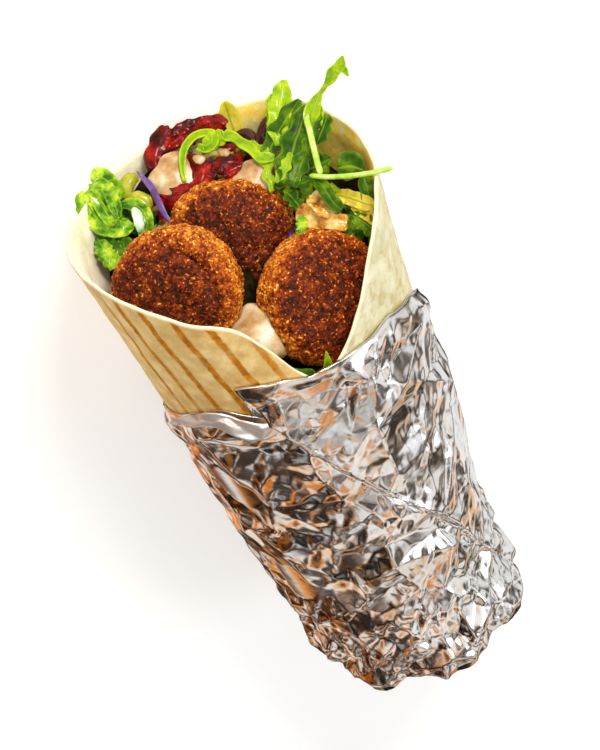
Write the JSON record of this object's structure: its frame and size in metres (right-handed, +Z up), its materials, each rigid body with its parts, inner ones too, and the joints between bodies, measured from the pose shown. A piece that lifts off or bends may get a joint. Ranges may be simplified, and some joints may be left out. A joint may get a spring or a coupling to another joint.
{
  "type": "falafel wrap",
  "caption": "Grilled tortilla rolled round falafel, salad and sauce that show in its open mouth, its lower part in crumpled foil, lying on its back.",
  "frame": {"origin": "on the flat that the wrap rests on, under its point of balance", "axes": "+Z up; the roll lies along Y, its open mouth towards -Y and its bunched foil end towards +Y; the high side of the mouth is towards +X"},
  "size_m": [0.0969, 0.2024, 0.0916],
  "materials": {
    "tortilla": "soft dry flatbread, pale cream with toasted blotches and golden grill lines",
    "foil": "thin bright foil, crumpled",
    "falafel": "deep fried crumb crust, rough, brown with golden edges",
    "sauce": "thick cream sauce, glossy",
    "red_pepper": "roasted red pepper, wet",
    "red_cabbage": "raw shredded red cabbage, waxy",
    "lettuce": "crisp fresh leaf",
    "rocket": "fresh rocket leaf",
    "pickled_pepper": "pickled green pepper, wet",
    "aubergine": "fried aubergine, oily",
    "fried_onion": "fried onion, soft and golden",
    "salad_filling": "packed salad in shadow"
  },
  "bodies": {
    "root": {"tortilla": "tortilla", "foil": "foil", "falafel_left": "falafel", "falafel_right": "falafel", "falafel_middle": "falafel", "rocket_stem": "rocket", "rocket_sprig": "rocket", "rocket_tip": "rocket", "rocket_bunch": "rocket", "rocket_leaf": "rocket", "cabbage_shred": "red_cabbage", "red_pepper_1": "red_pepper", "red_pepper_2": "red_pepper", "red_pepper_3": "red_pepper", "red_pepper_4": "red_pepper", "sauce_back": "sauce", "sauce_side": "sauce", "sauce_front": "sauce", "pickled_pepper": "pickled_pepper", "onion_curl": "lettuce", "leaf_back": "lettuce", "aubergine_1": "aubergine", "aubergine_2": "aubergine", "fried_onion_1": "fried_onion", "fried_onion_2": "fried_onion", "lettuce_bit": "lettuce", "lettuce_heap": "lettuce", "salad_filling": "salad_filling"}
  },
  "joints": []
}
